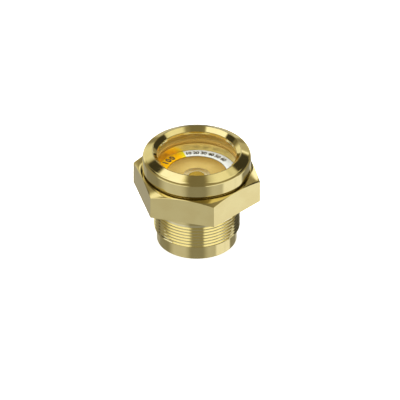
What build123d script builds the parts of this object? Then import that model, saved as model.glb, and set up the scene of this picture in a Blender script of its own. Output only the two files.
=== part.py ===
from build123d import *
import os
from math import cos, pi, radians, tan

# Screw-in sight glass with a moisture indicator, millimetres.
# The axis is +Z and the origin is the middle of the open end of the pilot.

# Screwed end: 1 3/8-18 UNEF-2A, drawn as a plain cylinder at its major diameter
thread_major_d = 34.8
thread_length = 10.6
thread_lead_chamfer = 0.5
shank_length = 5.4
pilot_step = 1.25
pilot_length = 6.0
pilot_chamfer = 0.15
flow_bore_d = 26.0
flow_bore_chamfer = 0.5

# Spanner hexagon, chamfered on its top side only
hex_across_flats = 46.0
hex_height = 11.0
hex_chamfer_inset = 0.3
hex_chamfer_angle = 22.0

# Backing groove for the rolling tool. Its diameter sets the head: the collar stands
# out from it, and the glass pocket leaves a wall inside it.
groove_d = 41.0
groove_depth = 1.5
groove_wall = 2.15
groove_height = 0.95
groove_root_radius = 0.3

# Collar and its lip, rolled inwards over the glass
collar_height = 8.1
collar_foot_radius = 0.25
shoulder_drop = 1.65
shoulder_inset = 0.75
shoulder_radius = 1.7
crest_setback = 4.1
crest_radius = 0.4
lip_overlap = 2.2
lip_edge_drop = 1.65
lip_edge_radius = 0.4
lip_edge_thickness = 1.2

# Glass and the two seals that clamp it
glass_thickness = 6.5
glass_edge_chamfer = 0.4
glass_side_clearance = 0.1
lip_washer_thickness = 0.5
lip_washer_setback = 0.3
seat_gasket_thickness = 1.0
seat_gasket_setback = 0.1
seal_side_clearance = 0.1

# Drawn indicator cup
gasket_ledge_width = 1.3
cup_sheet = 0.5
cup_height = 4.2
cup_side_clearance = 0.05
cup_top_clearance = 0.2
cup_corner_radius = 0.35
label_shelf_width = 4.3
dish_depth = 1.3
dish_floor_margin = 0.15
dish_side_clearance = 0.8
dish_foot_clearance = 0.4

# Printed label ring
label_thickness = 0.3
label_side_clearance = 0.1
label_bore_clearance = 0.1

# Ferrule and moisture element in the middle of the dish
ferrule_hole_d = 6.4
ferrule_wall = 0.6
ferrule_flange_width = 1.85
ferrule_flange_thickness = 0.3
ferrule_swage_width = 0.7
ferrule_swage_thickness = 0.4
ferrule_foot_thickness = 0.3
ferrule_foot_width = 0.7
ferrule_side_clearance = 0.05
ferrule_edge_radius = 0.12
element_thickness = 0.9
element_side_clearance = 0.05
element_crown = 0.1

# Heights worked out from the sizes above
thread_bottom = pilot_length
shank_bottom = thread_bottom + thread_length
hex_bottom = shank_bottom + shank_length
hex_top = hex_bottom + hex_height
collar_bottom = hex_top + groove_height
crest_height = collar_bottom + collar_height
lip_edge_height = crest_height - lip_edge_drop
lip_underside = lip_edge_height - lip_edge_thickness
glass_top = lip_underside - lip_washer_thickness
glass_bottom = glass_top - glass_thickness
gasket_ledge = glass_bottom - seat_gasket_thickness
cup_top = gasket_ledge - cup_top_clearance
cup_seat = cup_top - cup_height
label_bottom = cup_seat + cup_sheet
dish_floor = label_bottom - dish_depth
dish_underside = dish_floor - cup_sheet
swage_bottom = dish_underside - ferrule_swage_thickness
element_bottom = dish_floor + ferrule_flange_thickness - element_crown - element_thickness
ferrule_foot = element_bottom - ferrule_foot_thickness
relief_bottom = ferrule_foot - dish_foot_clearance

# Radii worked out from the sizes above
thread_r = thread_major_d / 2
pilot_r = thread_r - pilot_step
flow_r = flow_bore_d / 2
groove_r = groove_d / 2
collar_r = groove_r + groove_depth
crest_r = collar_r - crest_setback
pocket_r = groove_r - groove_wall
glass_r = pocket_r - glass_side_clearance
lip_r = glass_r - lip_overlap
seal_r = pocket_r - seal_side_clearance
cup_pocket_r = pocket_r - gasket_ledge_width
cup_outer_r = cup_pocket_r - cup_side_clearance
cup_bore_r = cup_outer_r - cup_sheet
ferrule_hole_r = ferrule_hole_d / 2
ferrule_barrel_r = ferrule_hole_r + ferrule_wall
ferrule_flange_r = ferrule_barrel_r + ferrule_flange_width
dish_rim_r = cup_bore_r - label_shelf_width
relief_r = dish_rim_r + dish_side_clearance
dish_floor_r = ferrule_flange_r + dish_floor_margin
dish_hole_r = ferrule_barrel_r + ferrule_side_clearance


def corner(profile, radius, height):
    """Vertex of a profile that lies nearest to a radius and a height."""
    return min(
        profile.vertices(),
        key=lambda v: (v.X - radius) ** 2 + (v.Y - height) ** 2,
    )


def rounded(profile, radius, *places):
    """Profile with one fillet radius at each (radius, height) place."""
    return fillet([corner(profile, *place) for place in places], radius)


def turned(profile):
    """Solid turned about +Z from a profile drawn as (radius, height)."""
    return revolve(Plane.XZ * profile, Axis.Z)


def outline(*points):
    """Closed flat profile through (radius, height) points."""
    return make_face(Polyline(*points, close=True))


def stem():
    """Pilot, threaded length and plain shank, up into the hexagon."""
    profile = outline(
        (0, 0),
        (pilot_r - pilot_chamfer, 0),
        (pilot_r, pilot_chamfer),
        (pilot_r, thread_bottom),
        (thread_r - thread_lead_chamfer, thread_bottom),
        (thread_r, thread_bottom + thread_lead_chamfer),
        (thread_r, hex_bottom + hex_height / 2),
        (0, hex_bottom + hex_height / 2),
    )
    return turned(profile)


def hexagon():
    """Spanner flats, with a conical chamfer over the top corners."""
    flat_r = hex_across_flats / 2
    corner_r = flat_r / cos(pi / 6)
    chamfer_r = flat_r - hex_chamfer_inset
    chamfer_drop = (corner_r - chamfer_r) * tan(radians(hex_chamfer_angle))
    blank = turned(
        outline(
            (0, hex_bottom),
            (corner_r, hex_bottom),
            (corner_r, hex_top - chamfer_drop),
            (chamfer_r, hex_top),
            (0, hex_top),
        )
    )
    flats = RegularPolygon(flat_r, 6, major_radius=False, rotation=30)
    prism = Pos(0, 0, hex_bottom) * extrude(flats, hex_height)
    return blank & prism


def collar():
    """Groove and collar, with the lip rolled in over the glass."""
    shoulder_height = crest_height - shoulder_drop
    wall_top = (collar_r, shoulder_height - shoulder_inset)
    shoulder = (collar_r - shoulder_inset, shoulder_height)
    profile = outline(
        (0, hex_bottom + hex_height / 2),
        (groove_r, hex_bottom + hex_height / 2),
        (groove_r, collar_bottom),
        (collar_r, collar_bottom),
        wall_top,
        shoulder,
        (crest_r, crest_height),
        (lip_r, lip_edge_height),
        (0, lip_edge_height),
    )
    profile = rounded(profile, groove_root_radius, (groove_r, collar_bottom))
    profile = rounded(profile, collar_foot_radius, (collar_r, collar_bottom))
    profile = rounded(profile, shoulder_radius, wall_top, shoulder)
    profile = rounded(profile, crest_radius, (crest_r, crest_height))
    return turned(profile)


def flow_bore():
    """Through bore of the stem, up to the seat of the cup."""
    profile = outline(
        (0, 0),
        (flow_r + flow_bore_chamfer, 0),
        (flow_r, flow_bore_chamfer),
        (flow_r, cup_seat),
        (0, cup_seat),
    )
    return turned(profile)


def recess():
    """Relief under the dish, cup bore, glass pocket and lip bore, cut as one."""
    top = crest_height + 1
    slope = lip_edge_drop / (crest_r - lip_r)
    profile = outline(
        (0, relief_bottom),
        (relief_r, relief_bottom),
        (relief_r, cup_seat),
        (cup_pocket_r, cup_seat),
        (cup_pocket_r, gasket_ledge),
        (pocket_r, gasket_ledge),
        (pocket_r, lip_underside),
        (lip_r, lip_underside),
        (lip_r, lip_edge_height - lip_edge_radius),
        (lip_r + lip_edge_radius, lip_edge_height + slope * lip_edge_radius),
        (lip_r + lip_edge_radius, top),
        (0, top),
    )
    profile = rounded(
        profile,
        lip_edge_radius,
        (lip_r, lip_edge_height - lip_edge_radius),
    )
    return turned(profile)


def make_body():
    """Brass body, turned from hexagon bar in one piece."""
    return stem() + hexagon() + collar() - flow_bore() - recess()


def make_glass():
    """Flat glass disc with ground edges."""
    inner_r = glass_r - glass_edge_chamfer
    profile = outline(
        (0, glass_bottom),
        (inner_r, glass_bottom),
        (glass_r, glass_bottom + glass_edge_chamfer),
        (glass_r, glass_top - glass_edge_chamfer),
        (inner_r, glass_top),
        (0, glass_top),
    )
    return turned(profile)


def flat_ring(bore_r, outer_r, bottom, thickness):
    """Flat seal or label ring."""
    profile = outline(
        (bore_r, bottom),
        (outer_r, bottom),
        (outer_r, bottom + thickness),
        (bore_r, bottom + thickness),
    )
    return turned(profile)


def make_lip_washer():
    """Thin seal between the rolled lip and the glass."""
    bore_r = lip_r + lip_washer_setback
    return flat_ring(bore_r, seal_r, glass_top, lip_washer_thickness)


def make_seat_gasket():
    """Seal under the glass, which also traps the cup."""
    bore_r = cup_bore_r + seat_gasket_setback
    return flat_ring(bore_r, seal_r, gasket_ledge, seat_gasket_thickness)


def make_cup():
    """Drawn cup: upright wall, label shelf and dished centre."""
    profile = outline(
        (dish_hole_r, dish_underside),
        (dish_floor_r, dish_underside),
        (dish_rim_r, cup_seat),
        (cup_outer_r, cup_seat),
        (cup_outer_r, cup_top),
        (cup_bore_r, cup_top),
        (cup_bore_r, label_bottom),
        (dish_rim_r, label_bottom),
        (dish_floor_r, dish_floor),
        (dish_hole_r, dish_floor),
    )
    profile = rounded(profile, cup_corner_radius, (cup_outer_r, cup_seat))
    bends = (
        (dish_floor_r, dish_underside),
        (dish_rim_r, cup_seat),
        (dish_rim_r, label_bottom),
        (dish_floor_r, dish_floor),
    )
    profile = rounded(profile, cup_sheet, *bends)
    return turned(profile)


def make_label():
    """Printed ring that lies on the shelf of the cup."""
    bore_r = dish_rim_r + label_bore_clearance
    outer_r = cup_bore_r - label_side_clearance
    return flat_ring(bore_r, outer_r, label_bottom, label_thickness)


def make_ferrule():
    """Flanged ferrule, swaged out under the dish and in under the element."""
    hole_r = ferrule_hole_r
    barrel_r = ferrule_barrel_r
    flange_r = ferrule_flange_r
    swage_r = barrel_r + ferrule_swage_width
    foot_hole_r = hole_r - ferrule_foot_width
    flange_top = dish_floor + ferrule_flange_thickness
    profile = outline(
        (foot_hole_r, ferrule_foot),
        (barrel_r, ferrule_foot),
        (barrel_r, swage_bottom),
        (swage_r, swage_bottom),
        (swage_r, dish_underside),
        (barrel_r, dish_underside),
        (barrel_r, dish_floor),
        (flange_r, dish_floor),
        (flange_r, flange_top),
        (hole_r, flange_top),
        (hole_r, element_bottom),
        (foot_hole_r, element_bottom),
    )
    edges = ((flange_r, flange_top), (hole_r, flange_top), (swage_r, swage_bottom))
    profile = rounded(profile, ferrule_edge_radius, *edges)
    return turned(profile)


def make_element():
    """Moisture element, slightly crowned, held in the ferrule."""
    radius = ferrule_hole_r - element_side_clearance
    rim_height = element_bottom + element_thickness
    crown = RadiusArc(
        (radius, rim_height),
        (-radius, rim_height),
        -(radius**2 + element_crown**2) / (2 * element_crown),
    )
    sides = Polyline(
        (-radius, rim_height),
        (-radius, element_bottom),
        (radius, element_bottom),
        (radius, rim_height),
    )
    half = Rectangle(2 * radius, 4 * element_thickness, align=(Align.MIN, Align.CENTER))
    profile = make_face(crown + sides) & (Pos(0, rim_height) * half)
    return turned(profile)


parts = {
    "body": make_body(),
    "sight_glass": make_glass(),
    "lip_washer": make_lip_washer(),
    "seat_gasket": make_seat_gasket(),
    "indicator_cup": make_cup(),
    "indicator_label": make_label(),
    "indicator_ferrule": make_ferrule(),
    "moisture_element": make_element(),
}

os.makedirs("parts", exist_ok=True)
for name, shape in parts.items():
    export_step(shape, f"parts/{name}.step")
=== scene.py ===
from math import acos, cos, hypot, pi, radians, sin, tan

import bpy
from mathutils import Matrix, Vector


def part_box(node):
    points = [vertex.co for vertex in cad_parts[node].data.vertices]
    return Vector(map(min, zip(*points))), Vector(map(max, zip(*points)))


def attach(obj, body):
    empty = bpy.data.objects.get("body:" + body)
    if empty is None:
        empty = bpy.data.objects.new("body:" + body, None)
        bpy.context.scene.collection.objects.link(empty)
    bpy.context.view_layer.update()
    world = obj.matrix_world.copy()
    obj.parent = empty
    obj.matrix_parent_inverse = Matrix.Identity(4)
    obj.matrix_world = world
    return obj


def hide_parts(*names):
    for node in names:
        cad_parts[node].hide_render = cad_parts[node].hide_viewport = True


# Screw-in sight glass. The axis is +Z, the end of the pilot stands on z 0, and all sizes are in millimetres
# until they reach Blender, which works in metres.
mm = 0.001
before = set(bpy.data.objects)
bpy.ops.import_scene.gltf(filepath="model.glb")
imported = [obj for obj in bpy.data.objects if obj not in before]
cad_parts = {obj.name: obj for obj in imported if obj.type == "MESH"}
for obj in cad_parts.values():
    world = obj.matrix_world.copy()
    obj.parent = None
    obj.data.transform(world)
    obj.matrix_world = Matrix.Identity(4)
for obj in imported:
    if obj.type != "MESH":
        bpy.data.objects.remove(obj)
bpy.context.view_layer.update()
print("frame loaded:", ", ".join(sorted(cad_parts)))


def extent(node):
    # outer radius, lowest and highest point of a turned CAD piece, in millimetres
    low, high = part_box(node)
    return round(high.x / mm, 3), round(low.z / mm, 3), round(high.z / mm, 3)


flatRadius = extent("body")[0]  # half the spanner size, because the flats face +X and -X
glassRadius, glassBottom, glassTop = extent("sight_glass")
washerRadius, washerBottom, washerTop = extent("lip_washer")
gasketRadius, gasketBottom, gasketTop = extent("seat_gasket")
cupRadius, cupBottom, cupTop = extent("indicator_cup")
labelRadius, labelBottom, labelTop = extent("indicator_label")
ferruleRadius, ferruleBottom, ferruleTop = extent("indicator_ferrule")
elementRadius, elementBottom, elementTop = extent("moisture_element")
seatGap = 0.01  # pieces that touch stay this far apart, so that no faces coincide
mergeGap = 0.001


# Modelling helpers

def startLine(name, place):
    # a new piece that is one vertex, in the plane of radius and height
    bpy.ops.object.select_all(action="DESELECT")
    bpy.ops.mesh.primitive_plane_add(size=mm, location=(0, 0, 0))
    piece = bpy.context.object
    piece.name = name
    piece.data.name = name
    bpy.ops.object.mode_set(mode="EDIT")
    bpy.ops.mesh.select_mode(type="VERT")
    bpy.ops.mesh.select_all(action="SELECT")
    bpy.ops.mesh.merge(type="CENTER")
    bpy.ops.transform.translate(value=(place[0] * mm, 0, place[1] * mm))
    return piece


def drawLine(name, places, closed=True):
    # extrudes one vertex along (radius, height) places
    piece = startLine(name, places[0])
    route = places[1:] + (places[:1] if closed else [])
    for last, place in zip(places, route):
        step = ((place[0] - last[0]) * mm, 0, (place[1] - last[1]) * mm)
        bpy.ops.mesh.extrude_region_move(TRANSFORM_OT_translate={"value": step})
    bpy.ops.mesh.select_all(action="SELECT")
    bpy.ops.mesh.remove_doubles(threshold=mergeGap * mm)
    return piece


def pick(piece, test):
    # selects the vertices that pass a test, and leaves the piece in edit mode
    bpy.ops.mesh.select_all(action="DESELECT")
    bpy.ops.object.mode_set(mode="OBJECT")
    for v in piece.data.vertices:
        v.select = test(v.co / mm)
    bpy.ops.object.mode_set(mode="EDIT")
    bpy.ops.mesh.select_mode(type="VERT")


def roundCorners(piece, places, corners, segments=5):
    # bevels corners of a closed line: {place number: radius}
    for number, radius in corners.items():
        here = Vector(places[number])
        before = (Vector(places[number - 1]) - here).normalized()
        after = (Vector(places[(number + 1) % len(places)]) - here).normalized()
        turn = pi - acos(max(-1, min(1, before.dot(after))))
        pick(piece, lambda p: hypot(p.x - here[0], p.z - here[1]) < 5 * mergeGap)
        bpy.ops.mesh.bevel(offset=radius * tan(turn / 2) * mm, segments=segments, affect="VERTICES")


def turnLine(piece, steps):
    # spins the line about the axis into a closed shell
    bpy.ops.mesh.select_all(action="SELECT")
    bpy.ops.mesh.spin(steps=steps, angle=2 * pi, center=(0, 0, 0), axis=(0, 0, 1))
    bpy.ops.mesh.select_all(action="SELECT")
    bpy.ops.mesh.remove_doubles(threshold=mergeGap * mm)
    bpy.ops.mesh.normals_make_consistent(inside=False)
    bpy.ops.object.mode_set(mode="OBJECT")


def applyAll(piece):
    bpy.ops.object.select_all(action="DESELECT")
    bpy.context.view_layer.objects.active = piece
    piece.select_set(True)
    for modifier in list(piece.modifiers):
        bpy.ops.object.modifier_apply(modifier=modifier.name)


def shadeSmooth(piece, angle):
    bpy.ops.object.select_all(action="DESELECT")
    bpy.context.view_layer.objects.active = piece
    piece.select_set(True)
    bpy.ops.object.shade_smooth_by_angle(angle=radians(angle))
    weighted = piece.modifiers.new("flatFaces", "WEIGHTED_NORMAL")
    weighted.keep_sharp = True
    weighted.weight = 100
    applyAll(piece)


def softenEdges(piece, width, limit, segments=2):
    bevel = piece.modifiers.new("edgeBreak", "BEVEL")
    bevel.width = width * mm
    bevel.segments = segments
    bevel.limit_method = "ANGLE"
    bevel.angle_limit = radians(limit)
    bevel.use_clamp_overlap = True
    applyAll(piece)


finishing = {"smoothAngle": 30, "feltSmoothAngle": 40, "edgeAngle": 50}


def turnedPiece(name, places, corners, steps, edge=0.0):
    piece = drawLine(name, places)
    roundCorners(piece, places, corners)
    turnLine(piece, steps)
    if edge:
        softenEdges(piece, edge, finishing["edgeAngle"])
    shadeSmooth(piece, finishing["smoothAngle"])
    return piece


# Node helpers

def addNode(tree, kind, values=None, **settings):
    node = tree.nodes.new(kind)
    for name, value in settings.items():
        setattr(node, name, value)
    for socket, value in (values or {}).items():
        if isinstance(value, bpy.types.NodeSocket):
            tree.links.new(value, node.inputs[socket])
        else:
            node.inputs[socket].default_value = value
    return node


def maths(tree, operation, *values):
    node = addNode(tree, "ShaderNodeMath", dict(enumerate(values)), operation=operation)
    return node.outputs[0]


def smoothStep(tree, value, low, high):
    values = {"Value": value, "From Min": low, "From Max": high}
    node = addNode(tree, "ShaderNodeMapRange", values, interpolation_type="SMOOTHSTEP")
    return node.outputs["Result"]


def fade(tree, factor, first, second):
    # mixes two values
    values = {"Factor": factor, "A": first, "B": second}
    return addNode(tree, "ShaderNodeMix", values, data_type="FLOAT").outputs["Result"]


def blend(tree, factor, first, second):
    # mixes two colours, each of them a socket or red, green and blue
    values = {"Factor": factor}
    for number, colour in ((6, first), (7, second)):
        values[number] = (*colour, 1) if isinstance(colour, tuple) else colour
    return addNode(tree, "ShaderNodeMix", values, data_type="RGBA").outputs[2]


def axisDistance(tree):
    # how far a point is from the turned axis, and its height
    place = addNode(tree, "ShaderNodeTexCoord").outputs["Object"]
    axes = addNode(tree, "ShaderNodeSeparateXYZ", {0: place})
    level = addNode(tree, "ShaderNodeCombineXYZ", {"X": axes.outputs["X"], "Y": axes.outputs["Y"]})
    radius = addNode(tree, "ShaderNodeVectorMath", {0: level.outputs[0]}, operation="LENGTH").outputs["Value"]
    return radius, axes.outputs["Z"]


def newMaterial(name):
    material = bpy.data.materials.new(name)
    material.use_nodes = True
    tree = material.node_tree
    shader = tree.nodes["Principled BSDF"]
    return material, tree, shader


def dress(piece, material):
    piece.data.materials.clear()
    piece.data.materials.append(material)


# Body: pilot, thread, shank, hexagon, groove and collar, turned in one piece

body = {
    "steps": 192,
    "pilotRadius": 16.15,
    "pilotHeight": 6.0,
    "pilotChamfer": 0.15,
    "threadRadius": 17.4,
    "leadChamfer": 0.5,
    "boreRadius": 13.0,
    "boreChamfer": 0.5,
    "hexUnderside": 22.0,
    "hexTop": 33.0,
    "acrossFlats": 2 * flatRadius,
    "barStock": 1.0,  # the bar is turned this much wider than the hexagon's corners, before the flats are cut
    "chamferInset": 0.3,
    "chamferAngle": 22.0,
    "grooveRadius": 20.5,
    "grooveTop": 33.95,
    "grooveRoot": 0.3,
    "collarRadius": 22.0,
    "collarFoot": 0.25,
    "crestRadius": 17.9,
    "crestHeight": 42.05,
    "crestRound": 0.4,
    "shoulderHeight": 40.4,
    "shoulderInset": 0.75,
    "shoulderRound": 1.7,
    "lipRadius": 16.05,
    "lipHeight": 40.4,
    "lipRound": 0.4,
    "lipUnderside": washerTop,
    "pocketRadius": glassRadius + 0.1,
    "gasketLedge": gasketBottom,
    "cupPocketRadius": cupRadius + 0.05,
    "cupSeat": 26.8,
    "edgeBreak": 0.12,
    "edgeAngle": 40,
    "roundSegments": 7,
}


def makeBody(b):
    flat = b["acrossFlats"] / 2
    rim = flat / cos(pi / 6) + b["barStock"]
    coneFoot = flat - b["chamferInset"]
    coneDrop = (rim - coneFoot) * tan(radians(b["chamferAngle"]))
    places = [
        (b["boreRadius"] + b["boreChamfer"], 0),
        (b["pilotRadius"] - b["pilotChamfer"], 0),
        (b["pilotRadius"], b["pilotChamfer"]),
        (b["pilotRadius"], b["pilotHeight"]),
        (b["threadRadius"] - b["leadChamfer"], b["pilotHeight"]),
        (b["threadRadius"], b["pilotHeight"] + b["leadChamfer"]),
        (b["threadRadius"], b["hexUnderside"]),
        (rim, b["hexUnderside"]),
        (rim, b["hexTop"] - coneDrop),
        (coneFoot, b["hexTop"]),
        (b["grooveRadius"], b["hexTop"]),
        (b["grooveRadius"], b["grooveTop"]),
        (b["collarRadius"], b["grooveTop"]),
        (b["collarRadius"], b["shoulderHeight"] - b["shoulderInset"]),
        (b["collarRadius"] - b["shoulderInset"], b["shoulderHeight"]),
        (b["crestRadius"], b["crestHeight"]),
        (b["lipRadius"], b["lipHeight"]),
        (b["lipRadius"], b["lipUnderside"]),
        (b["pocketRadius"], b["lipUnderside"]),
        (b["pocketRadius"], b["gasketLedge"]),
        (b["cupPocketRadius"], b["gasketLedge"]),
        (b["cupPocketRadius"], b["cupSeat"]),
        (b["boreRadius"], b["cupSeat"]),
        (b["boreRadius"], b["boreChamfer"]),
    ]
    corners = {
        11: b["grooveRoot"],
        12: b["collarFoot"],
        13: b["shoulderRound"],
        14: b["shoulderRound"],
        15: b["crestRound"],
        16: b["lipRound"],
    }
    piece = drawLine("turned_body", places)
    roundCorners(piece, places, corners, b["roundSegments"])
    turnLine(piece, b["steps"])
    bpy.ops.object.mode_set(mode="EDIT")
    for side in range(6):
        across = Vector((cos(side * pi / 3), sin(side * pi / 3), 0))
        bpy.ops.mesh.select_all(action="SELECT")
        bpy.ops.mesh.bisect(
            plane_co=across * flat * mm, plane_no=across, use_fill=True, clear_outer=True, threshold=1e-7
        )
    bpy.ops.object.mode_set(mode="OBJECT")
    softenEdges(piece, b["edgeBreak"], b["edgeAngle"])
    return piece


# Thread: a V cutter on a helix, taken out of the body

thread = {
    "pitch": 1.411,
    "depth": 0.866,
    "rootFlat": 0.235,
    "rootEase": 0.04,  # the root is this much rounder than flat
    "rootMiddle": 0.45,
    "flankAngle": 30,
    "clearance": 0.1,
    "start": 4.96,  # in the air below the thread, because the cutter's ends are open
    "startBearing": 135.0,
    "turns": 8,
    "steps": 192,
    "runOut": 0.4,
    "runOutClearance": 0.02,
}


def makeCutter(t, majorRadius):
    root = majorRadius - t["depth"]
    outer = majorRadius + t["clearance"]
    halfRoot = t["rootFlat"] / 2
    spread = halfRoot + (outer - root) * tan(radians(t["flankAngle"]))
    places = [
        (root + t["rootEase"], -halfRoot),
        (root, -halfRoot * t["rootMiddle"]),
        (root, halfRoot * t["rootMiddle"]),
        (root + t["rootEase"], halfRoot),
        (outer, spread),
        (outer, -spread),
    ]
    places = [(r, z + t["start"]) for r, z in places]
    piece = drawLine("thread_cutter", places)
    bpy.ops.mesh.select_all(action="SELECT")
    bpy.ops.mesh.edge_face_add()
    bpy.ops.object.mode_set(mode="OBJECT")
    piece.rotation_euler.z = radians(t["startBearing"])
    bpy.ops.object.transform_apply(rotation=True)
    screw = piece.modifiers.new("helix", "SCREW")
    screw.axis = "Z"
    screw.angle = 2 * pi
    screw.screw_offset = t["pitch"] * mm
    screw.iterations = t["turns"]
    screw.steps = t["steps"]
    screw.render_steps = t["steps"]
    screw.use_merge_vertices = False
    applyAll(piece)
    # the groove climbs out of the metal over the last part of a turn
    last = t["turns"] * t["steps"]
    for number, v in enumerate(piece.data.vertices):
        share = (number // len(places) - last) / (t["runOut"] * t["steps"]) + 1
        if share > 0:
            grow = 1 + share * (t["depth"] + t["runOutClearance"]) * mm / hypot(v.co.x, v.co.y)
            v.co.x *= grow
            v.co.y *= grow
    return piece


bodyPiece = makeBody(body)
print("body turned:", len(bodyPiece.data.polygons), "faces")

cutter = makeCutter(thread, body["threadRadius"])
bpy.ops.object.mode_set(mode="EDIT")
bpy.ops.mesh.select_all(action="SELECT")
bpy.ops.mesh.normals_make_consistent(inside=False)
bpy.ops.object.mode_set(mode="OBJECT")
cut = bodyPiece.modifiers.new("threadCut", "BOOLEAN")
cut.operation = "DIFFERENCE"
cut.solver = "EXACT"
cut.object = cutter
applyAll(bodyPiece)
bpy.data.objects.remove(cutter)
shadeSmooth(bodyPiece, finishing["smoothAngle"])
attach(bodyPiece, "root")
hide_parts("body")
print("thread cut:", len(bodyPiece.data.polygons), "faces")


# Inner pieces: glass, seals, indicator cup, label, ferrule and element

glass = {
    "steps": 128,
    "radius": glassRadius,
    "bottom": glassBottom + seatGap,
    "top": glassTop - seatGap,
    "edgeChamfer": 0.4,
}
washer = {
    "steps": 128,
    "bore": 16.35,
    "radius": washerRadius,
    "bottom": washerBottom,
    "top": washerTop - seatGap,
    "edge": 0.05,
}
gasket = {
    "steps": 128,
    "bore": 16.6,
    "radius": gasketRadius,
    "bottom": gasketBottom + seatGap,
    "top": gasketTop,
    "edge": 0.05,
}


def makeDisc(name, d):
    rim = d["radius"] - d["edgeChamfer"]
    places = [
        (0, d["bottom"]),
        (rim, d["bottom"]),
        (d["radius"], d["bottom"] + d["edgeChamfer"]),
        (d["radius"], d["top"] - d["edgeChamfer"]),
        (rim, d["top"]),
        (0, d["top"]),
    ]
    piece = drawLine(name, places, closed=False)
    turnLine(piece, d["steps"])
    shadeSmooth(piece, finishing["smoothAngle"])
    return piece


def makeRing(name, r):
    inner, outer, low, high = r["bore"], r["radius"], r["bottom"], r["top"]
    places = [(inner, low), (outer, low), (outer, high), (inner, high)]
    return turnedPiece(name, places, {}, r["steps"], r["edge"])


def place(piece, node, slot):
    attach(piece, "root")
    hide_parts(node)


glassPiece = makeDisc("sight_disc", glass)
place(glassPiece, "sight_glass", "clear_glass")
washerPiece = makeRing("lip_seal", washer)
place(washerPiece, "lip_washer", "bronze_filled_seal")
gasketPiece = makeRing("seat_seal", gasket)
place(gasketPiece, "seat_gasket", "bronze_filled_seal")

cup = {
    "steps": 160,
    "radius": cupRadius,
    "sheet": 0.5,
    "top": cupTop,
    "seat": body["cupSeat"] + seatGap,
    "dishRim": 12.2,
    "dishFloorRadius": 5.8,
    "dishUnderside": cupBottom,
    "hole": 3.85,
    "corner": 0.35,
    "innerCorner": 0.15,
    "bend": 0.5,
    "edge": 0.06,
}


def makeCup(c):
    shelf = c["seat"] + c["sheet"] - seatGap
    floor = c["dishUnderside"] + c["sheet"]
    places = [
        (c["hole"], c["dishUnderside"]),
        (c["dishFloorRadius"], c["dishUnderside"]),
        (c["dishRim"], c["seat"]),
        (c["radius"], c["seat"]),
        (c["radius"], c["top"]),
        (c["radius"] - c["sheet"], c["top"]),
        (c["radius"] - c["sheet"], shelf),
        (c["dishRim"], shelf),
        (c["dishFloorRadius"], floor),
        (c["hole"], floor),
    ]
    corners = {number: c["bend"] for number in (1, 2, 7, 8)}
    corners[3] = c["corner"]
    corners[6] = c["innerCorner"]
    return turnedPiece("indicator_pan", places, corners, c["steps"], c["edge"])


cupPiece = makeCup(cup)
place(cupPiece, "indicator_cup", "drawn_brass")

label = {
    "steps": 128,
    "bore": 12.3,
    "radius": labelRadius,
    "bottom": labelBottom + seatGap,
    "top": labelTop - seatGap,
    "edge": 0.03,
    "inkGap": 0.012,
    "numeralRadius": 14.3,
    "numeralHeight": 2.5,
    "numeralStep": 4.9,
    "numeralGap": 2.6,
    "firstNumeral": 151.0,
    "scale": ("10", "20", "30", "40", "50", "60"),
    "fieldNumeral": "100",
    "fieldHeight": 3.5,
    "fieldAngle": 196.0,
    "fieldStep": 8.8,
    "fieldBoldness": 0.2,
    "boldness": 0.13,
}
labelPiece = makeRing("printed_ring", label)
place(labelPiece, "indicator_label", "printed_label")


def makeNumerals(k):
    # plain dial numerals with their tops outwards, each on its own bearing round the ring
    spots = [
        (mark, k["fieldAngle"] - i * k["fieldStep"], k["fieldHeight"], k["fieldBoldness"])
        for i, mark in enumerate(k["fieldNumeral"])
    ]
    bearing = k["firstNumeral"]
    for number in k["scale"]:
        for mark in number:
            spots.append((mark, bearing, k["numeralHeight"], k["boldness"]))
            bearing -= k["numeralStep"]
        bearing -= k["numeralGap"]
    marks = []
    for mark, bearing, height, boldness in spots:
        bpy.ops.object.select_all(action="DESELECT")
        bpy.ops.object.text_add(location=(0, 0, 0))
        letter = bpy.context.object
        letter.data.body = mark
        letter.data.size = height * mm
        letter.data.align_x = "CENTER"
        letter.data.align_y = "CENTER"
        letter.data.offset = boldness * mm
        letter.data.resolution_u = 4
        bpy.ops.object.convert(target="MESH")
        turn = radians(bearing)
        letter.location = Vector((cos(turn), sin(turn), 0)) * k["numeralRadius"] * mm
        letter.location.z = (k["top"] + k["inkGap"]) * mm
        letter.rotation_euler.z = turn - pi / 2
        marks.append(letter)
    bpy.ops.object.select_all(action="DESELECT")
    for mark in marks:
        mark.select_set(True)
    bpy.context.view_layer.objects.active = marks[0]
    bpy.ops.object.transform_apply(location=True, rotation=True, scale=True)
    bpy.ops.object.join()
    piece = bpy.context.object
    bpy.ops.object.transform_apply(location=True, rotation=True, scale=True)
    piece.name = "label_numerals"
    piece.data.name = "label_numerals"
    return piece


numerals = makeNumerals(label)
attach(numerals, "root")

ferrule = {
    "steps": 96,
    "foot": ferruleBottom + seatGap,
    "footHole": 2.5,
    "barrel": 3.8,
    "swage": 4.5,
    "swageBottom": 25.1,
    "dishUnderside": cupBottom - seatGap,
    "dishFloor": cupBottom + cup["sheet"] + seatGap,
    "flange": ferruleRadius,
    "flangeTop": ferruleTop,
    "hole": 3.2,
    "seat": elementBottom - seatGap,
    "edgeRadius": 0.12,
}


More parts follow.
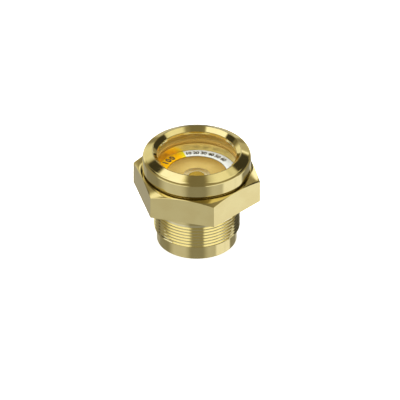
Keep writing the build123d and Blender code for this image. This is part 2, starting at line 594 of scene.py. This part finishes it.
def makeFerrule(f):
    places = [
        (f["footHole"], f["foot"]),
        (f["barrel"], f["foot"]),
        (f["barrel"], f["swageBottom"]),
        (f["swage"], f["swageBottom"]),
        (f["swage"], f["dishUnderside"]),
        (f["barrel"], f["dishUnderside"]),
        (f["barrel"], f["dishFloor"]),
        (f["flange"], f["dishFloor"]),
        (f["flange"], f["flangeTop"]),
        (f["hole"], f["flangeTop"]),
        (f["hole"], f["seat"]),
        (f["footHole"], f["seat"]),
    ]
    corners = {3: f["edgeRadius"], 8: f["edgeRadius"], 9: f["edgeRadius"]}
    return turnedPiece("centre_ferrule", places, corners, f["steps"])


ferrulePiece = makeFerrule(ferrule)
place(ferrulePiece, "indicator_ferrule", "pale_brass")

element = {
    "steps": 96,
    "radius": elementRadius,
    "bottom": elementBottom,
    "top": elementTop,
    "crown": 0.15,
    "rings": 6,
}


def makeElement(e):
    rim = e["top"] - e["crown"]
    places = [(0, e["bottom"]), (e["radius"], e["bottom"]), (e["radius"], rim)]
    for i in range(1, e["rings"] + 1):
        share = 1 - i / e["rings"]
        places.append((e["radius"] * share, rim + e["crown"] * (1 - share**2)))
    piece = drawLine("moisture_pad", places, closed=False)
    turnLine(piece, e["steps"])
    shadeSmooth(piece, finishing["feltSmoothAngle"])
    return piece


elementPiece = makeElement(element)
place(elementPiece, "moisture_element", "element_felt")
print("inner pieces made")


# Materials

def newGroup(name, inputs, outputs):
    group = bpy.data.node_groups.new(name, "ShaderNodeTree")
    for label, value in inputs.items():
        socket = group.interface.new_socket(label, in_out="INPUT", socket_type="NodeSocketFloat")
        socket.default_value = value
    for label, kind in outputs.items():
        group.interface.new_socket(label, in_out="OUTPUT", socket_type="NodeSocket" + kind)
    return group, addNode(group, "NodeGroupInput").outputs


tooling = {
    "lengthwise": (1, 1, 0.03),
    "upright": 0.05,  # how far a normal may tilt on the flats of the bar
    "flatsFrom": 22.4,
    "markDetail": 3.0,
    "markHeight": 0.004,
    "innerFade": 0.3,
    "toneScale": 160.0,
    "toneDetail": 4.0,
}


def machiningGroup(t):
    # tool marks round a turned surface, and lengthwise lines on the drawn flats of the bar
    inputs = {"Line Width": 0.14, "Depth": 0.2, "Flats": 0.0, "Inner Radius": -1.0}
    group, start = newGroup("machiningMarks", inputs, {"Marks": "Float", "Tone": "Float", "Normal": "Vector"})
    place = addNode(group, "ShaderNodeTexCoord").outputs["Object"]
    radius, height = axisDistance(group)
    turned = addNode(group, "ShaderNodeCombineXYZ", {"X": radius, "Y": height}).outputs[0]
    values = {0: place, 1: t["lengthwise"]}
    drawn = addNode(group, "ShaderNodeVectorMath", values, operation="MULTIPLY").outputs[0]
    way = addNode(group, "ShaderNodeNewGeometry").outputs["Normal"]
    steep = maths(group, "ABSOLUTE", addNode(group, "ShaderNodeSeparateXYZ", {0: way}).outputs["Z"])
    upright = maths(group, "LESS_THAN", steep, t["upright"])
    outside = maths(group, "GREATER_THAN", radius, t["flatsFrom"] * mm)
    onFlat = maths(group, "MULTIPLY", maths(group, "MULTIPLY", upright, outside), start["Flats"])
    values = {"Factor": onFlat, 4: turned, 5: drawn}
    where = addNode(group, "ShaderNodeMix", values, data_type="VECTOR").outputs[1]
    width = maths(group, "MULTIPLY", start["Line Width"], mm)
    values = {0: where, "Scale": maths(group, "DIVIDE", 1.0, width)}
    scaled = addNode(group, "ShaderNodeVectorMath", values, operation="SCALE").outputs[0]
    values = {"Vector": scaled, "Scale": 1.0, "Detail": t["markDetail"]}
    marks = addNode(group, "ShaderNodeTexNoise", values).outputs[0]
    fadeEnd = maths(group, "ADD", start["Inner Radius"], t["innerFade"] * mm)
    onSkin = smoothStep(group, radius, start["Inner Radius"], fadeEnd)
    marks = maths(group, "MULTIPLY_ADD", maths(group, "SUBTRACT", marks, 0.5), onSkin, 0.5)
    values = {"Vector": place, "Scale": t["toneScale"], "Detail": t["toneDetail"]}
    broad = addNode(group, "ShaderNodeTexNoise", values).outputs[0]
    values = {"Strength": start["Depth"], "Distance": t["markHeight"] * mm, "Height": marks}
    bump = addNode(group, "ShaderNodeBump", values).outputs[0]
    addNode(group, "NodeGroupOutput", {"Marks": marks, "Tone": broad, "Normal": bump})
    return group


machining = machiningGroup(tooling)


def grainGroup():
    # grain, fibres or patches all through a piece: a mask between two tones, and a bump of a height in millimetres
    inputs = {
        "Scale": 1000.0,
        "Detail": 1.0,
        "Distortion": 0.0,
        "Low": 0.3,
        "High": 0.7,
        "Depth": 0.1,
        "Bump Height": 0.005,
    }
    group, start = newGroup("fineGrain", inputs, {"Mask": "Float", "Normal": "Vector"})
    values = {name: start[name] for name in ("Scale", "Detail", "Distortion")}
    values["Vector"] = addNode(group, "ShaderNodeTexCoord").outputs["Object"]
    grain = addNode(group, "ShaderNodeTexNoise", values).outputs[0]
    mask = smoothStep(group, grain, start["Low"], start["High"])
    reach = maths(group, "MULTIPLY", start["Bump Height"], mm)
    values = {"Strength": start["Depth"], "Distance": reach, "Height": grain}
    bump = addNode(group, "ShaderNodeBump", values).outputs[0]
    addNode(group, "NodeGroupOutput", {"Mask": mask, "Normal": bump})
    return group


fineGrain = grainGroup()


def placeGrain(tree, values):
    finish = addNode(tree, "ShaderNodeGroup", node_tree=fineGrain)
    for name, value in values.items():
        finish.inputs[name].default_value = value
    return finish.outputs["Mask"], finish.outputs["Normal"]


bodyBrass = {
    "colour": (0.82, 0.71, 0.34),
    "deepColour": (0.79, 0.67, 0.31),
    "roughness": (0.05, 0.10),
    "lineWidth": 0.16,
    "lineDepth": 0.12,
    "flats": 1.0,
    "innerRadius": 18.4,  # the bore inside this is honed, without tool marks
    # rings of another tone, painted shade and painted highlight: low, high, inner and outer radius, colour
    "zones": {
        # painted shade: the backing groove is darkened, so that it mirrors less
        "painted shade in the backing groove": (32.99, 33.97, 20.0, 22.0, (0.62, 0.54, 0.28)),
        # painted highlight: the thread is paler, so that its flanks shine brighter
        "painted highlight on the thread": (6.4, 16.9, 16.4, 17.7, (0.95, 0.87, 0.54)),
    },
}
cupBrass = {
    "colour": (0.94, 0.73, 0.25),
    "deepColour": (0.91, 0.69, 0.22),
    "roughness": (0.28, 0.38),
    "lineWidth": 0.3,
    "lineDepth": 0.4,
    "flats": 0.0,
    "innerRadius": -1.0,
    "zones": {},
}
ferruleBrass = {
    "colour": (0.97, 0.90, 0.58),
    "deepColour": (0.95, 0.87, 0.53),
    "roughness": (0.22, 0.32),
    "lineWidth": 0.12,
    "lineDepth": 0.3,
    "flats": 0.0,
    "innerRadius": -1.0,
    "zones": {},
}
brassMix = {"tone": (0.3, 0.7), "marks": (0.3, 0.7), "zoneFade": 0.2}


def brass(name, m):
    material, tree, shader = newMaterial(name)
    finish = addNode(tree, "ShaderNodeGroup", node_tree=machining)
    finish.inputs["Line Width"].default_value = m["lineWidth"]
    finish.inputs["Depth"].default_value = m["lineDepth"]
    finish.inputs["Flats"].default_value = m["flats"]
    finish.inputs["Inner Radius"].default_value = m["innerRadius"] * mm
    tone = smoothStep(tree, finish.outputs["Tone"], *brassMix["tone"])
    colour = blend(tree, tone, m["colour"], m["deepColour"])
    radius, height = axisDistance(tree)
    # the rings of painted shade and painted highlight, laid over the brass colour
    for low, high, inner, outer, zoneColour in m["zones"].values():
        above = maths(tree, "GREATER_THAN", height, low * mm)
        under = maths(tree, "LESS_THAN", height, high * mm)
        outside = maths(tree, "GREATER_THAN", radius, inner * mm)
        inside = smoothStep(tree, radius, outer * mm, (outer - brassMix["zoneFade"]) * mm)
        level = maths(tree, "MULTIPLY", above, under)
        zone = maths(tree, "MULTIPLY", level, maths(tree, "MULTIPLY", outside, inside))
        colour = blend(tree, zone, colour, zoneColour)
    tree.links.new(colour, shader.inputs["Base Color"])
    values = {
        "Value": finish.outputs["Marks"],
        "From Min": brassMix["marks"][0],
        "From Max": brassMix["marks"][1],
        "To Min": m["roughness"][0],
        "To Max": m["roughness"][1],
    }
    rough = addNode(tree, "ShaderNodeMapRange", values).outputs["Result"]
    tree.links.new(rough, shader.inputs["Roughness"])
    tree.links.new(finish.outputs["Normal"], shader.inputs["Normal"])
    shader.inputs["Metallic"].default_value = 1
    return material


dress(bodyPiece, brass("turned brass", bodyBrass))
dress(cupPiece, brass("drawn brass", cupBrass))
dress(ferrulePiece, brass("pale brass", ferruleBrass))

# matte filled compound for the seals, and an opaque amber on the edge of the glass, a painted reflection of the
# brass pocket wall round it
sealCompound = {
    "colour": (0.78, 0.50, 0.10),
    "grainColour": (0.82, 0.55, 0.13),
    "roughness": 0.5,
    "sheen": 0.0,
    "grain": {"Scale": 6000.0, "Detail": 1.0, "Low": 0.4, "High": 0.65, "Depth": 0.1, "Bump Height": 0.005},
}
paintedEdgeReflection = {
    "colour": (0.91, 0.66, 0.18),
    "grainColour": (0.94, 0.70, 0.20),
    "roughness": 0.5,
    "sheen": 0.0,
    "grain": {"Scale": 1500.0, "Detail": 1.0, "Low": 0.4, "High": 0.65, "Depth": 0.1, "Bump Height": 0.005},
}
# dense felt, dyed amber
elementFelt = {
    "colour": (0.25, 0.155, 0.006),
    "grainColour": (0.34, 0.225, 0.015),
    "roughness": 0.9,
    "sheen": 0.3,
    "grain": {"Scale": 2200.0, "Detail": 6.0, "Distortion": 1.2, "Depth": 0.6, "Bump Height": 0.05},
}
labelInk = {
    "colour": (0.03, 0.028, 0.02),
    "grainColour": (0.07, 0.06, 0.04),
    "roughness": 0.5,
    "sheen": 0.0,
    "grain": {"Scale": 4000.0, "Detail": 2.0, "Low": 0.35, "Depth": 0.0},
}


def grained(name, g):
    material, tree, shader = newMaterial(name)
    mask, normal = placeGrain(tree, g["grain"])
    tree.links.new(blend(tree, mask, g["colour"], g["grainColour"]), shader.inputs["Base Color"])
    tree.links.new(normal, shader.inputs["Normal"])
    shader.inputs["Roughness"].default_value = g["roughness"]
    shader.inputs["Sheen Weight"].default_value = g["sheen"]
    return material


seal = grained("bronze filled seal", sealCompound)
dress(washerPiece, seal)
dress(gasketPiece, seal)
dress(numerals, grained("printing ink", labelInk))
dress(elementPiece, grained("amber felt", elementFelt))

glassLook = {"colour": (1, 1, 1), "roughness": 0.0, "ior": 1.5}


def clearGlass(g):
    material, tree, shader = newMaterial("clear glass")
    shader.inputs["Base Color"].default_value = (*g["colour"], 1)
    shader.inputs["Roughness"].default_value = g["roughness"]
    shader.inputs["IOR"].default_value = g["ior"]
    shader.inputs["Transmission Weight"].default_value = 1
    return material


dress(glassPiece, clearGlass(glassLook))
glassPiece.data.materials.append(grained("painted glass edge reflection", paintedEdgeReflection))
# the edge faces of the glass take the painted reflection of the brass wall round them
for face in glassPiece.data.polygons:
    if hypot(face.center.x, face.center.y) > (glass["radius"] - glass["edgeChamfer"]) * mm:
        face.material_index = 1
glassPiece.visible_diffuse = False  # lamp light reaches the label through the glass
glassPiece.visible_shadow = False

labelPrint = {
    "yellow": (0.72, 0.39, 0.003),
    "yellowEdge": (0.66, 0.60, 0.015),
    "pale": (0.66, 0.72, 0.74),
    "paleShade": (0.95, 0.93, 0.88),
    "fieldMiddle": 200.0,
    "fieldHalf": 45.0,
    "edgeWidth": 12.0,
    "edgeBlur": 0.4,
    "roughness": 0.45,
    "shine": 0.1,
    "grain": {"Scale": 2500.0, "Detail": 4.0, "Depth": 0.15, "Bump Height": 0.005},
}


def labelMaterial(p):
    # pale paper with a yellow field, which is greener towards its ends
    material, tree, shader = newMaterial("printed label")
    place = addNode(tree, "ShaderNodeTexCoord").outputs["Object"]
    axes = addNode(tree, "ShaderNodeSeparateXYZ", {0: place}).outputs
    bearing = maths(tree, "ARCTAN2", axes["Y"], axes["X"])
    offset = maths(tree, "SUBTRACT", bearing, radians(p["fieldMiddle"]))
    away = maths(tree, "ABSOLUTE", maths(tree, "WRAP", offset, -pi, pi))
    half, blur = p["fieldHalf"], p["edgeBlur"]
    inField = smoothStep(tree, away, radians(half + blur), radians(half - blur))
    nearEdge = smoothStep(tree, away, radians(half - p["edgeWidth"]), radians(half))
    yellow = blend(tree, nearEdge, p["yellow"], p["yellowEdge"])
    fibres, normal = placeGrain(tree, p["grain"])
    shaded = tuple(a * b for a, b in zip(p["pale"], p["paleShade"]))
    paper = blend(tree, fibres, p["pale"], shaded)
    tree.links.new(blend(tree, inField, paper, yellow), shader.inputs["Base Color"])
    tree.links.new(normal, shader.inputs["Normal"])
    shader.inputs["Roughness"].default_value = p["roughness"]
    shader.inputs["Specular IOR Level"].default_value = p["shine"]
    return material


dress(labelPiece, labelMaterial(labelPrint))
print("materials made")


# Studio: a world of soft cards round the part, a lamp, and a pale floor that takes the shadow

camera = {
    "azimuth": -45.0,
    "elevation": 34.3,
    "distance": 600.0,
    "frameWidth": 161.54,
    "axisHeight": 17.87,
    "axisShift": 1.313,
}

studio = {
    "ambient": 0.28,
    "dimTint": (1.12, 0.98, 0.62),
    "lowTint": (1.05, 1.0, 0.85),
    "brightTint": (1.03, 1.0, 0.80),
    "lowBrightTint": (1.0, 1.0, 1.03),
    "glareTint": (0.98, 1.0, 1.15),
    "brightFrom": (0.15, 0.85),
    "glareFrom": (0.85, 1.6),
    "lowFrom": (0.0, -25.0),
    "bandLevel": 0.19,
    "bandLevelBelow": 0.28,
    "band": (0.17, 0.13, 0.6, 1.3),  # half width, widening to the camera, and where its soft edge starts and ends
    "throughGlass": 1.12,
    "passes": 2.5,  # light that went in and out of the glass has passed more of its faces than this
    # bearing from the camera, towards the right of the picture; elevation; half width; half height; edge; level
    "cards": {
        "low left": (-52, -34, 28, 40, 28, 0.63),
        "low right soft": (46, -34, 20, 40, 24, 0.58),
        "low right": (85, -34, 27, 20, 8, 1.02),
        "low right flat": (90, -34, 3.4, 6, 3, 0.96),
        "low back": (180, -12, 30, 26, 10, 0.54),
        "low far left": (-148, -33, 14, 12, 6, 0.40),
        "under left": (-46, -16, 37, 8, 5, 1.08),
        "under right": (53, -15, 36, 8, 5, 1.12),
        "upper left": (-84, 58, 50, 21, 10, 1.3),
        "upper right": (88, 57, 43, 21, 18, 0.98),
        "upper soft left": (-109, 54, 8, 8, 5, 0.62),
        "upper soft right": (118, 49, 7, 8, 5, 0.55),
        "back left": (-144, 6, 14, 18, 10, 0.95),
        "back left upper": (-149, 22, 7, 14, 6, 0.82),
        "dim spot left": (-164.5, 4, 3.5, 5, 3, 0.25),
        "back right": (157, -8, 11, 10, 5, 0.78),
        "back right upper": (155, 15, 5, 7, 4, 0.5),
        "dim spot right": (164.5, 4, 3.5, 4, 3, 0.27),
        "side dark left": (-109, 30, 14, 12, 4, 0.045),
        "gap left low": (-128, 36, 11, 13, 6, 0.22),
        "gap left": (-134, 44.5, 7, 9.5, 3, 0.045),
        "side dark right": (118, 24, 20, 15, 4, 0.045),
        "gap right": (138, 34, 11, 14, 3, 0.045),
        "strip left": (-153, 55, 17, 3.5, 4, 1.15),
        "strip right": (166, 54, 7, 5, 5, 1.0),
        "slit left": (-163, 33, 4, 7, 3, 1.05),
        "slit right": (159, 27, 8.5, 8, 3, 1.35),
    },
    "glassCard": (180, 34, 10, 9, 6, 0.03),
}


def layCard(tree, azimuth, elevation, card, level):
    # a soft card laid over what the world has so far
    bearing, height, halfWidth, halfHeight, edge, brightness = card
    across = maths(tree, "WRAP", maths(tree, "SUBTRACT", azimuth, radians(bearing)), -pi, pi)
    across = maths(tree, "ABSOLUTE", across)
    along = maths(tree, "ABSOLUTE", maths(tree, "SUBTRACT", elevation, radians(height)))
    inWidth = smoothStep(tree, across, radians(halfWidth + edge / 2), radians(halfWidth - edge / 2))
    inHeight = smoothStep(tree, along, radians(halfHeight + edge / 2), radians(halfHeight - edge / 2))
    return fade(tree, maths(tree, "MULTIPLY", inWidth, inHeight), level, brightness)


def makeWorld(s):
    world = bpy.data.worlds.new("studio")
    bpy.context.scene.world = world
    world.use_nodes = True
    tree = world.node_tree
    tree.nodes.clear()
    way = addNode(tree, "ShaderNodeTexCoord").outputs["Generated"]
    facing = radians(camera["azimuth"])

    def along(direction):
        values = {0: way, 1: direction}
        return addNode(tree, "ShaderNodeVectorMath", values, operation="DOT_PRODUCT").outputs["Value"]

    toCamera = along((cos(facing), sin(facing), 0))
    toRight = along((-sin(facing), cos(facing), 0))
    up = addNode(tree, "ShaderNodeSeparateXYZ", {0: way}).outputs["Z"]
    azimuth = maths(tree, "ARCTAN2", toRight, toCamera)
    elevation = maths(tree, "ARCSINE", up)
    level = s["ambient"]
    for card in s["cards"].values():
        level = layCard(tree, azimuth, elevation, card, level)

    # a dark band right over the part, in the upright plane through the camera
    halfWidth, widening, inner, outer = s["band"]
    reach = maths(tree, "MULTIPLY_ADD", toCamera, widening, halfWidth)
    side = maths(tree, "DIVIDE", maths(tree, "ABSOLUTE", toRight), reach)
    clear = smoothStep(tree, side, inner, outer)
    below = smoothStep(tree, elevation, radians(s["lowFrom"][0]), radians(s["lowFrom"][1]))
    dark = maths(tree, "MULTIPLY_ADD", below, s["bandLevelBelow"] - s["bandLevel"], s["bandLevel"])
    level = fade(tree, clear, dark, level)
    # what the flat of the glass mirrors, so that the label stays clear
    level = layCard(tree, azimuth, elevation, s["glassCard"], level)

    dim = blend(tree, below, s["dimTint"], s["lowTint"])
    bright = blend(tree, below, s["brightTint"], s["lowBrightTint"])
    tint = blend(tree, smoothStep(tree, level, *s["brightFrom"]), dim, bright)
    tint = blend(tree, smoothStep(tree, level, *s["glareFrom"]), tint, s["glareTint"])
    rays = addNode(tree, "ShaderNodeLightPath").outputs
    # light that comes in through the glass and goes out again, but not what the back of the glass mirrors
    fromInside = maths(tree, "GREATER_THAN", rays["Transmission Depth"], s["passes"])

    def light(colour, strength):
        return addNode(tree, "ShaderNodeBackground", {"Color": colour, "Strength": strength}).outputs[0]

    cards = light(tint, level)
    inside = light((1, 1, 1, 1), s["throughGlass"])
    white = light((1, 1, 1, 1), 1.0)
    lit = addNode(tree, "ShaderNodeMixShader", {0: fromInside, 1: cards, 2: inside}).outputs[0]
    shown = addNode(tree, "ShaderNodeMixShader", {0: rays["Is Camera Ray"], 1: lit, 2: white}).outputs[0]
    addNode(tree, "ShaderNodeOutputWorld", {"Surface": shown})


makeWorld(studio)

softbox = {"size": 260.0, "height": 420.0, "energy": 2.2, "colour": (1.0, 0.98, 0.94)}
lamp = bpy.data.lights.new("softbox", "AREA")
lamp.shape = "DISK"
lamp.size = softbox["size"] * mm
lamp.energy = softbox["energy"]
lamp.color = softbox["colour"]
lampObject = bpy.data.objects.new("softbox", lamp)
bpy.context.scene.collection.objects.link(lampObject)
lampObject.location = (0, 0, softbox["height"] * mm)
# it lights the label and the floor; the metal mirrors the cards
lampObject.visible_camera = False
lampObject.visible_glossy = False
lampObject.visible_transmission = False

# the floor glows to the camera alone, so that it is white there and still takes the shadow
ground = {"size": 3000.0, "drop": 0.02, "colour": (0.9, 0.9, 0.9), "roughness": 0.9, "glow": 0.86}
bpy.ops.object.select_all(action="DESELECT")
bpy.ops.mesh.primitive_plane_add(size=ground["size"] * mm, location=(0, 0, -ground["drop"] * mm))
floor = bpy.context.object
floor.name = "floor"
floor.visible_glossy = False
floorMaterial, tree, shader = newMaterial("pale floor")
shader.inputs["Base Color"].default_value = (*ground["colour"], 1)
shader.inputs["Roughness"].default_value = ground["roughness"]
shader.inputs["Specular IOR Level"].default_value = 0
shader.inputs["Emission Color"].default_value = (1, 1, 1, 1)
seen = addNode(tree, "ShaderNodeLightPath").outputs["Is Camera Ray"]
tree.links.new(maths(tree, "MULTIPLY", seen, ground["glow"]), shader.inputs["Emission Strength"])
dress(floor, floorMaterial)

facing = radians(camera["azimuth"])
lift = radians(camera["elevation"])
towards = Vector((cos(facing) * cos(lift), sin(facing) * cos(lift), sin(lift)))
right = Vector((-sin(facing), cos(facing), 0))
target = (right * camera["axisShift"] + Vector((0, 0, camera["axisHeight"]))) * mm
lens = bpy.data.cameras.new("camera")
lens.type = "ORTHO"
lens.ortho_scale = camera["frameWidth"] * mm
lens.clip_start = 0.01
lens.clip_end = 10
cameraObject = bpy.data.objects.new("camera", lens)
bpy.context.scene.collection.objects.link(cameraObject)
cameraObject.rotation_mode = "QUATERNION"
cameraObject.location = target + towards * camera["distance"] * mm
cameraObject.rotation_quaternion = (-towards).to_track_quat("-Z", "Y")
bpy.context.scene.camera = cameraObject
bpy.context.scene.view_settings.view_transform = "Standard"
print("camera and studio set")
